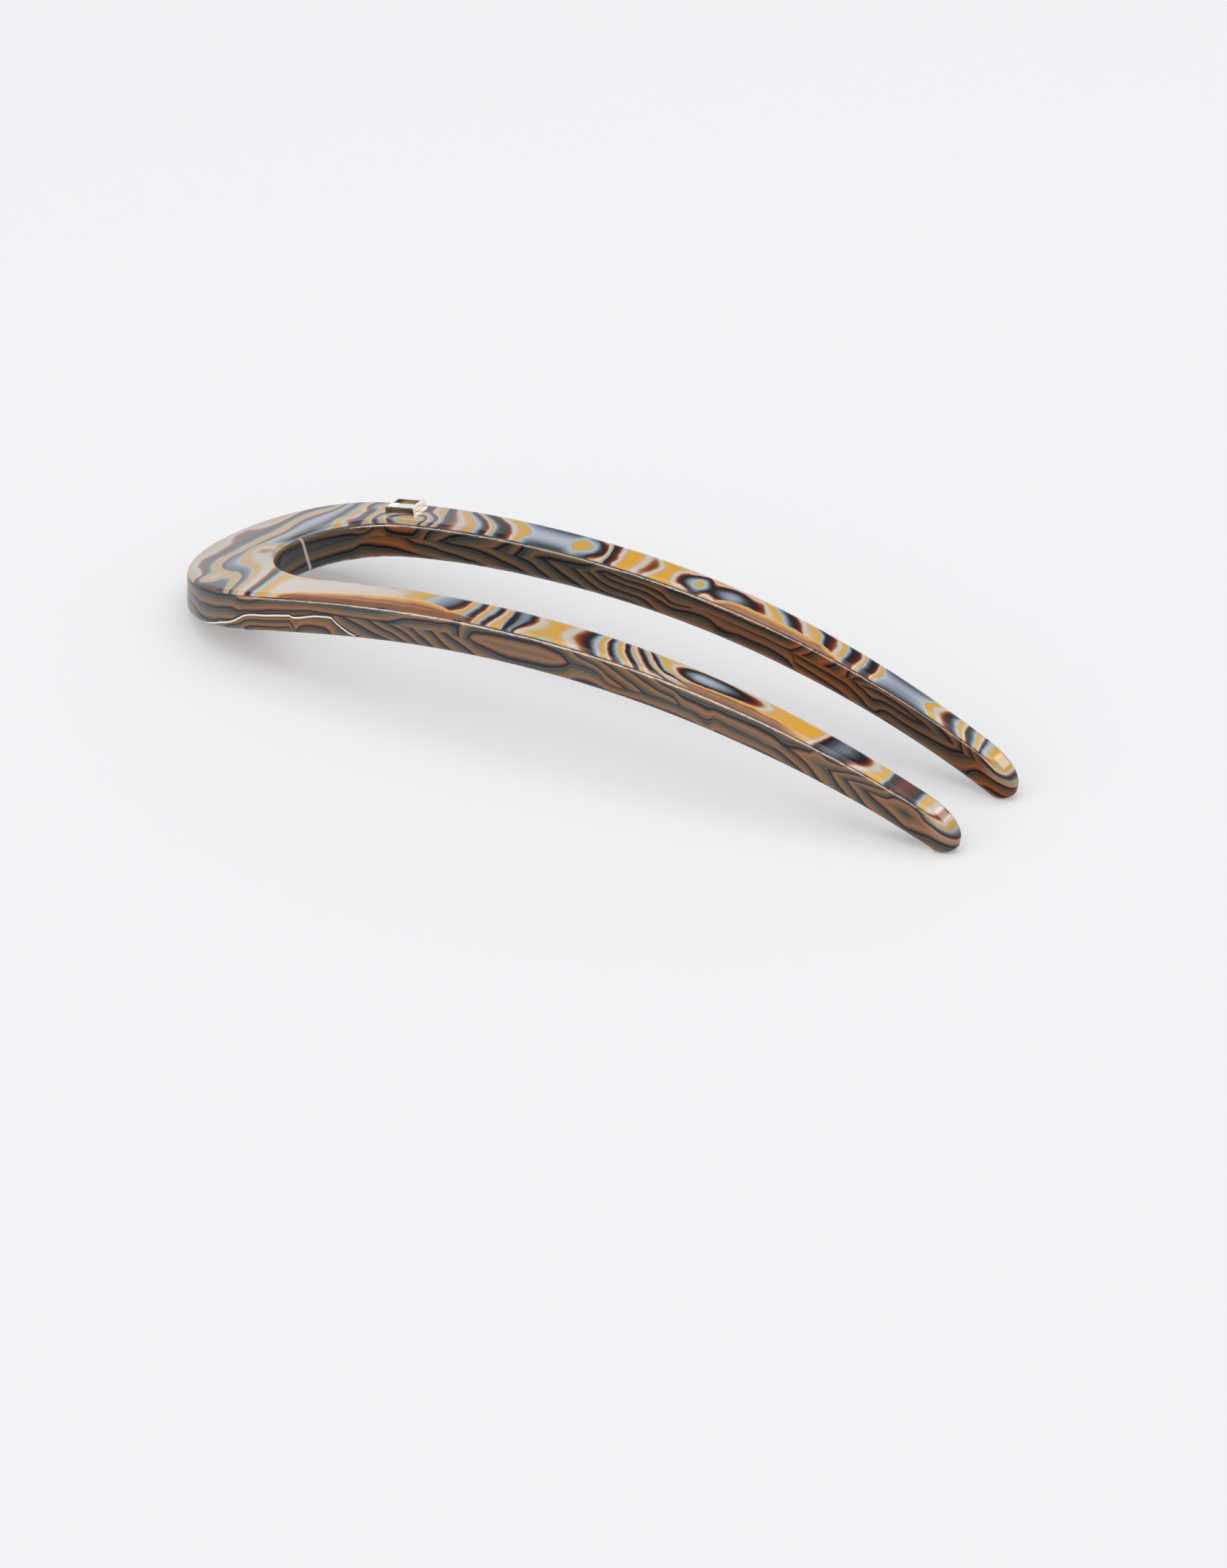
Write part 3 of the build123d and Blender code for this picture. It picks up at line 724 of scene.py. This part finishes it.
def flat_colour(tree, spot):
    """The colour on the flat of the sheet."""
    # Round the back of the head the layers curve with it and swirl
    in_head = from_middle(tree, spot.place, HEAD_X, 0.0, HEAD_DEPTH, HEAD_HALF)
    round_head = add(
        tree, "MapRange", [in_head, 0.0, 1.0, HEAD_X, HEAD_X - HEAD_DEPTH], clamp=False
    )
    on_head = add(
        tree, "MapRange", [spot.x, *INTO_HEAD, 0.0, HEAD_CURVE], interpolation_type="SMOOTHSTEP"
    )
    along = blend(tree, on_head, spot.x, round_head)
    along = add(tree, "Math", (along, spot.waver), "ADD")
    swirl = spot.settings.swirl_height
    swirl = spread_noise(tree, spot.place, spot.settings.swirl_length, 0.0, -swirl, swirl)
    along = add(tree, "Math", (swirl, on_head, along), "MULTIPLY_ADD")

    # Place across the leg, from -1 at the slot to 1 at the outer side
    leg = [spot.x, LEG_START_X, LEG_END_X]
    middle = add(tree, "MapRange", [*leg, LEG_START_Y, LEG_END_Y], clamp=False)
    half_width = add(tree, "MapRange", [*leg, LEG_START_HALF, LEG_END_HALF])
    off_axis = add(tree, "Math", (spot.y,), "ABSOLUTE")
    across = add(tree, "Math", (off_axis, middle), "SUBTRACT")
    across = add(tree, "Math", (across, half_width), "DIVIDE")
    on_leg = add(tree, "MapRange", [spot.x, *INTO_LEG])
    across = add(tree, "Math", (across, on_leg), "MULTIPLY")

    far = flat_layer(tree, along, across, FAR_LEG_LAYERS, FAR_LEG_LAY)
    near = flat_layer(tree, along, across, NEAR_LEG_LAYERS, NEAR_LEG_LAY)
    layer = blend(tree, spot.to_far_leg, near, far)
    layer = add(tree, "Math", (layer, bulges(tree, spot.place)), "ADD")
    layer = add(tree, "Math", (layer, 0.0, 1.0), "WRAP")
    colour = ramp_colour(tree, layer, FLAT_COLOURS)

    # A milky grey painted over the head and the far leg next to it, as a painted reflection
    reflection_leg = add(tree, "MapRange", [spot.x, *INTO_REFLECTION, 0.0, REFLECTION_IN_LEG])
    reflection_leg = add(tree, "Math", (reflection_leg, spot.to_far_leg), "MULTIPLY")
    reflection_head = add(tree, "Math", (on_head, REFLECTION_IN_HEAD), "MULTIPLY")
    painted_reflection = add(tree, "Math", (reflection_leg, reflection_head), "MAXIMUM")
    colour = blend_colour(tree, painted_reflection, colour, linear(MILKY_REFLECTION))
    return edge_bands(tree, spot, along, across, half_width, colour)


def side_layer(tree, along, depth, rows):
    """The layer that shows on the sides of a leg, and how warm it is there."""
    fold, top, above, under, bottom, warmth = curves(tree, along, rows)
    over = add(tree, "MapRange", [depth, SIDE_TOP, fold, top, above])
    below = add(tree, "MapRange", [depth, fold, SIDE_BOTTOM, under, bottom])
    is_below = add(tree, "Math", (depth, fold), "GREATER_THAN")
    return blend(tree, is_below, over, below), warmth


def pearl_line(tree, spot, along, depth, colour):
    """Lays the thin pearl layer over the colour of the near side."""
    (line,) = curves(tree, along, PEARL_LINE)
    from_line = add(tree, "Math", (depth, line), "SUBTRACT")
    from_line = add(tree, "MapRange", [from_line, -PEARL_REACH, PEARL_REACH])
    stroke = ramp_colour(tree, from_line, PEARL_COLOURS)
    on_near_side = add(tree, "Math", (1.0, spot.far_layers), "SUBTRACT")
    strength = add(tree, "Math", (stroke.outputs["Alpha"], on_near_side), "MULTIPLY")
    return blend_colour(tree, strength, colour, stroke)


def painted_slot_reflection(tree, spot, colour):
    """Lays the pale streak, a painted reflection, over the colour of the slot's end."""
    streak = add(tree, "Math", (spot.depth, -STREAK_LEAN, -STREAK_Y), "MULTIPLY_ADD")
    from_streak = add(tree, "Math", (spot.y, streak), "ADD")
    from_streak = add(tree, "Math", (from_streak,), "ABSOLUTE")
    on_streak = add(tree, "MapRange", [from_streak, *STREAK_FADE])
    far_in = add(tree, "Math", (spot.x, STREAK_BEFORE), "LESS_THAN")
    on_streak = add(tree, "Math", (on_streak, far_in), "MULTIPLY")
    on_streak = add(tree, "Math", (on_streak, spot.slot_end), "MULTIPLY")
    # The streak is a painted reflection in the colour of the edge highlight
    return blend_colour(tree, on_streak, colour, linear(STREAK_REFLECTION))


def side_colour(tree, spot):
    """The colour on the sawn sides and on the noses of the tips."""
    along = add(tree, "Math", (spot.x, spot.waver), "ADD")
    ripple = spot.settings.ripple_height
    ripple = spread_noise(tree, spot.place, spot.settings.ripple_length, 1.0, -ripple, ripple)
    depth = add(tree, "Math", (spot.depth, ripple), "ADD")
    far, far_warmth = side_layer(tree, along, depth, FAR_SIDE_LAYERS)
    near, near_warmth = side_layer(tree, along, depth, NEAR_SIDE_LAYERS)
    layer = blend(tree, spot.far_layers, near, far)
    layer = add(tree, "Math", (layer, 0.0, 1.0), "WRAP")
    colour = ramp_colour(tree, layer, SIDE_COLOURS)
    near_tint = blend_colour(tree, near_warmth, *map(linear, NEAR_TINTS))
    # The far leg's tints are darker as painted shade, besides their warmth
    far_tint_and_shade = blend_colour(tree, far_warmth, *map(linear, FAR_TINTS_AND_SHADE))
    tint = blend_colour(tree, spot.far_look, near_tint, far_tint_and_shade)
    colour = blend_colour(tree, 1.0, colour, tint, "MULTIPLY")
    colour = blend_colour(tree, 1.0, colour, (SIDE_BRIGHTNESS,) * 3 + (1.0,), "MULTIPLY")

    # The noses are almost as bright as the flat
    bright = add(tree, "MapRange", [spot.depth, *NOSE_DEPTHS, 0.0, NOSE_SHARE])
    near_end = add(tree, "MapRange", [spot.x, *NOSE_STRETCH])
    bright = add(tree, "Math", (bright, near_end), "MULTIPLY")
    nose_colour = ramp_colour(tree, layer, FLAT_COLOURS)
    colour = blend_colour(tree, bright, colour, nose_colour)

    colour = pearl_line(tree, spot, along, depth, colour)
    return painted_slot_reflection(tree, spot, colour)


def laminated_acetate(settings):
    """Cellulose acetate, pressed from coloured sheets, bent warm and tumble polished.

    The colours lie inside the plastic under a clear, wet-looking gloss. On the flat of the
    sheet the layers show as broad pearly fields with rings. The sawn sides cut across them and
    show them as long dark lines. The worn edges have softer, broader highlights.
    """
    material, tree, shader = new_material("laminated_acetate_polished")
    spot = Spot(tree, settings)
    colours = side_colour(tree, spot), flat_colour(tree, spot)
    colour = blend_colour(tree, flat_share(tree, spot), *colours)
    tree.links.new(colour, shader.inputs["Base Color"])
    shader.inputs["IOR"].default_value = settings.ior

    from_edge = add(tree, "Math", (spot.facing, EDGE_FACING), "SUBTRACT")
    from_edge = add(tree, "Math", (from_edge,), "ABSOLUTE")
    polish = [settings.roughness, settings.edge_roughness]
    roughness = add(tree, "MapRange", [from_edge, *INTO_EDGE, *polish])
    tree.links.new(roughness.outputs[0], shader.inputs["Roughness"])
    side_gloss = add(tree, "MapRange", [spot.far_look, 0.0, 1.0, NEAR_SIDE_GLOSS, FAR_SIDE_GLOSS])
    gloss = add(tree, "MapRange", [spot.facing, *INTO_GLOSS, side_gloss, FULL_GLOSS])
    tree.links.new(gloss.outputs[0], shader.inputs["Specular IOR Level"])
    return material


def nickel_plating(settings):
    """A small alloy plate, nickel plated and polished with strokes along it.

    It mirrors the studio softly, with fine streaks and duller patches. Its long sides, which
    the strokes run past, are rougher, and a dull brown-grey is painted on them as shade.
    """
    material, tree, shader = new_material("nickel_plated_alloy_polished")
    shader.inputs["Metallic"].default_value = 1.0
    place = place_in_mm(tree)
    haze = [settings.roughness + change for change in HAZE]
    haze = spread_noise(tree, place, settings.haze_length, 3.0, *haze)
    geometry = add(tree, "NewGeometry")
    normal = add(tree, "SeparateXYZ", (geometry.outputs["Normal"],))
    on_side = add(tree, "Math", (normal.outputs["Y"],), "ABSOLUTE")
    on_side = add(tree, "MapRange", [on_side, *LONG_SIDE])
    roughness = add(tree, "Math", (on_side, LONG_SIDE_ROUGHER, haze), "MULTIPLY_ADD")
    tree.links.new(roughness.outputs[0], shader.inputs["Roughness"])
    # The long sides get a dull brown-grey as painted shade
    colour = blend_colour(tree, on_side, (*settings.colour, 1.0), linear(SIDE_SHADE_COLOUR))
    tree.links.new(colour, shader.inputs["Base Color"])
    stretched = add(tree, "VectorMath", (place, STROKES_PER_MM), "MULTIPLY")
    strokes = add(tree, "TexNoise", {"Vector": stretched, "Scale": 1.0, "Detail": 2.0})
    relief = {
        "Strength": STROKE_STRENGTH,
        "Distance": settings.stroke_depth,
        "Height": strokes.outputs["Fac"],
    }
    polish = add(tree, "Bump", relief)
    tree.links.new(polish.outputs[0], shader.inputs["Normal"])
    return material


def sanded_acrylic(settings):
    """A white acrylic sheet, sanded matt.

    It mirrors nothing and only takes soft shadows, which the light from below makes paler.
    """
    material, _, shader = new_material("white_acrylic_matt_sanded")
    shader.inputs["Base Color"].default_value = (*settings.floor_colour, 1.0)
    shader.inputs["Roughness"].default_value = FLOOR_ROUGHNESS
    shader.inputs["Emission Color"].default_value = linear(UNDERLIGHT)
    shader.inputs["Emission Strength"].default_value = settings.underlight
    return material


def white_studio(settings):
    """The world round the table, which the polished faces mirror."""
    world = bpy.data.worlds.new("white_studio")
    world.use_nodes = True
    tree = world.node_tree
    tree.nodes.clear()
    direction = add(tree, "TexCoord").outputs["Generated"]
    split = add(tree, "SeparateXYZ", (direction,))
    behind = ramp_colour(tree, split.outputs["Z"], SKY_BEHIND)
    front = (math.sin(settings.azimuth), -math.cos(settings.azimuth), 0.0)
    toward = add(tree, "VectorMath", (direction, front), "DOT_PRODUCT")
    toward = add(
        tree,
        "MapRange",
        [toward.outputs["Value"], *BEHIND_TO_FRONT],
        interpolation_type="SMOOTHSTEP",
    )
    sky = blend_colour(tree, toward, behind, linear(SKY_IN_FRONT))
    background = add(tree, "Background", {"Color": sky, "Strength": settings.sky_strength})
    add(tree, "OutputWorld", {"Surface": background})
    return world


def lay_table(scene, material):
    """Puts a wide flat table under the fork."""
    mesh = bpy.data.meshes.new("table_top")
    form = bmesh.new()
    bmesh.ops.create_grid(form, x_segments=1, y_segments=1, size=TABLE_TOP_HALF)
    form.to_mesh(mesh)
    form.free()
    floor = bpy.data.objects.new("table_top", mesh)
    scene.collection.objects.link(floor)
    mesh.materials.append(material)


def hang_softbox(scene, name, power, sides, place):
    """Hangs a softbox that shines at the fork."""
    light = bpy.data.lights.new(name, "AREA")
    light.shape = "RECTANGLE"
    light.size, light.size_y = sides
    light.energy = power
    lamp = bpy.data.objects.new(name, light)
    lamp.location = place
    lamp.rotation_mode = "QUATERNION"
    lamp.rotation_quaternion = Vector(place).to_track_quat("Z", "Y")
    scene.collection.objects.link(lamp)
    return lamp


def place_camera(scene, settings):
    """Sets the camera up at the photo's angle."""
    azimuth, elevation = settings.azimuth, settings.elevation
    level = math.cos(elevation)
    back = Vector((math.sin(azimuth) * level, -math.cos(azimuth) * level, math.sin(elevation)))
    right = Vector((math.cos(azimuth), math.sin(azimuth), 0.0))
    turned = Matrix((right, back.cross(right), back)).transposed()
    turned = turned @ Matrix.Rotation(settings.roll, 3, "Z")
    data = bpy.data.cameras.new("camera")
    data.lens = settings.lens
    data.sensor_width = PICTURE_HEIGHT
    camera = bpy.data.objects.new("camera", data)
    camera.matrix_world = Matrix.Translation(settings.camera_place) @ turned.to_4x4()
    scene.collection.objects.link(camera)
    scene.camera = camera


class AcetateSettings(PropertyGroup):
    """How the layers of the acetate run, and its polish."""

    ripple_length: FloatProperty(
        name="Ripple length",
        description="Length of the ripples of the layers in the sides, in mm",
        default=6.0,
        min=0.5,
    )
    ripple_height: FloatProperty(
        name="Ripple height",
        description="How far the layers in the sides ripple up and down, in mm",
        default=0.18,
        min=0.0,
    )
    waver_length: FloatProperty(
        name="Waver length",
        description="Length of the small unevenness of the layers, in mm",
        default=2.4,
        min=0.1,
    )
    waver_height: FloatProperty(
        name="Waver height",
        description="How far the layers waver along the fork, in mm",
        default=0.22,
        min=0.0,
    )
    swirl_length: FloatProperty(
        name="Swirl length",
        description="Length of the swirls of the layers in the head, in mm",
        default=9.0,
        min=1.0,
    )
    swirl_height: FloatProperty(
        name="Swirl height",
        description="How far the swirls shift the layers in the head, in mm",
        default=2.6,
        min=0.0,
    )
    roughness: FloatProperty(
        name="Roughness",
        description="Roughness of the tumbled polish",
        default=0.07,
        min=0.0,
        max=1.0,
        subtype="FACTOR",
    )
    edge_roughness: FloatProperty(
        name="Edge roughness",
        description="Roughness along the rounded edges, which the tumbling wears most",
        default=0.24,
        min=0.0,
        max=1.0,
        subtype="FACTOR",
    )
    ior: FloatProperty(
        name="IOR", description="Index of refraction of cellulose acetate", default=1.48, min=1.0
    )


class PlaqueSettings(PropertyGroup):
    """The finish of the plaque."""

    colour: FloatVectorProperty(
        name="Colour",
        description="Colour of the plating",
        default=linear("e6e2da")[:3],
        size=3,
        min=0.0,
        max=1.0,
        subtype="COLOR",
    )
    roughness: FloatProperty(
        name="Roughness",
        description="Roughness of the polished plating",
        default=0.1,
        min=0.0,
        max=1.0,
        subtype="FACTOR",
    )
    haze_length: FloatProperty(
        name="Haze length",
        description="Length of the duller and brighter patches, in mm",
        default=0.8,
        min=0.1,
    )
    stroke_depth: FloatProperty(
        name="Stroke depth",
        description="Depth of the fine strokes that the polishing left",
        default=0.00001,
        min=0.0,
        unit="LENGTH",
    )


class StageSettings(PropertyGroup):
    """The camera, the floor and the light."""

    azimuth: FloatProperty(
        name="Azimuth",
        description="Direction of the camera round the fork, from -Y towards +X",
        default=math.radians(32.03),
        subtype="ANGLE",
    )
    elevation: FloatProperty(
        name="Elevation",
        description="Height of the camera's view above level",
        default=math.radians(31.02),
        subtype="ANGLE",
    )
    roll: FloatProperty(
        name="Roll",
        description="Tilt of the camera in its picture",
        default=math.radians(-0.51),
        subtype="ANGLE",
    )
    lens: FloatProperty(
        name="Lens",
        description="Focal length on a 36 mm high picture, in mm",
        default=131.94,
        min=1.0,
    )
    camera_place: FloatVectorProperty(
        name="Camera place",
        description="Where the camera stands",
        default=(0.37789, -0.59588, 0.41064),
        size=3,
        subtype="TRANSLATION",
        unit="LENGTH",
    )
    floor_colour: FloatVectorProperty(
        name="Floor colour",
        description="Colour of the matt acrylic table",
        default=linear("cbcbcd")[:3],
        size=3,
        min=0.0,
        max=1.0,
        subtype="COLOR",
    )
    underlight: FloatProperty(
        name="Underlight",
        description="Brightness of the light that comes up through the table",
        default=0.225,
        min=0.0,
    )
    sky_strength: FloatProperty(
        name="Sky strength", description="Brightness of the white studio", default=1.45, min=0.0
    )
    overhead_power: FloatProperty(
        name="Overhead power",
        description="Power of the wide softbox over the table",
        default=5.7,
        min=0.0,
        unit="POWER",
    )
    back_power: FloatProperty(
        name="Back power",
        description="Power of the softbox behind the fork, which throws the shadow forwards",
        default=1.4,
        min=0.0,
        unit="POWER",
    )
    fill_power: FloatProperty(
        name="Fill power",
        description="Power of the wide softbox in front, which lightens the shadow",
        default=2.8,
        min=0.0,
        unit="POWER",
    )
    highlight_power: FloatProperty(
        name="Highlight power",
        description="Power shared by the lights that only draw highlights",
        default=12.0,
        min=0.0,
        unit="POWER",
    )


class HAIRFORK_OT_acetate(Operator):
    """Gives the fork its laminated acetate"""

    bl_idname = "hairfork.acetate"
    bl_label = "Finish the Fork"

    def execute(self, context):
        dress("acetate_fork", laminated_acetate(context.scene.acetate))
        return {"FINISHED"}


class HAIRFORK_OT_plaque(Operator):
    """Gives the plaque its polished plating"""

    bl_idname = "hairfork.plaque"
    bl_label = "Finish the Plaque"

    def execute(self, context):
        dress("metal_plaque", nickel_plating(context.scene.plaque))
        return {"FINISHED"}


class HAIRFORK_OT_stage(Operator):
    """Sets up the table, the light and the camera"""

    bl_idname = "hairfork.stage"
    bl_label = "Set the Stage"

    def execute(self, context):
        scene = context.scene
        settings = scene.stage
        scene.view_settings.view_transform = "Standard"
        lay_table(scene, sanded_acrylic(settings))
        scene.world = white_studio(settings)
        for name, power, sides, place, mirrored in SOFTBOXES:
            lamp = hang_softbox(scene, name, getattr(settings, power), sides, place)
            lamp.visible_glossy = mirrored
        for name, share, sides, place in HIGHLIGHTS:
            lamp = hang_softbox(scene, name, settings.highlight_power * share, sides, place)
            lamp.data.color = linear(HIGHLIGHT_COLOUR)[:3]
            lamp.visible_diffuse = False
        place_camera(scene, settings)
        return {"FINISHED"}


class HAIRFORK_PT_sidebar(Panel):
    """Lists the steps and their settings"""

    bl_idname = "HAIRFORK_PT_sidebar"
    bl_label = "Hair Fork"
    bl_space_type = "VIEW_3D"
    bl_region_type = "UI"
    bl_category = "Hair Fork"

    def draw(self, context):
        for group in SETTINGS:
            box = self.layout.box()
            settings = getattr(context.scene, group)
            for name in settings.__annotations__:
                box.prop(settings, name)
            box.operator("hairfork." + group)


# Each operator finds its settings in the scene under its own name
SETTINGS = {"stage": StageSettings, "acetate": AcetateSettings, "plaque": PlaqueSettings}
STEPS = (HAIRFORK_OT_stage, HAIRFORK_OT_acetate, HAIRFORK_OT_plaque, HAIRFORK_PT_sidebar)


def register():
    """Adds the settings, the operators and the panel."""
    for cls in (*SETTINGS.values(), *STEPS):
        bpy.utils.register_class(cls)
    for name, group in SETTINGS.items():
        setattr(bpy.types.Scene, name, PointerProperty(type=group))


def unregister():
    """Takes them away again."""
    for name in SETTINGS:
        delattr(bpy.types.Scene, name)
    for cls in (*reversed(STEPS), *SETTINGS.values()):
        bpy.utils.unregister_class(cls)


def main():
    """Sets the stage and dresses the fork."""
    register()
    bpy.ops.hairfork.stage()
    bpy.ops.hairfork.acetate()
    bpy.ops.hairfork.plaque()


if __name__ == "__main__":
    main()
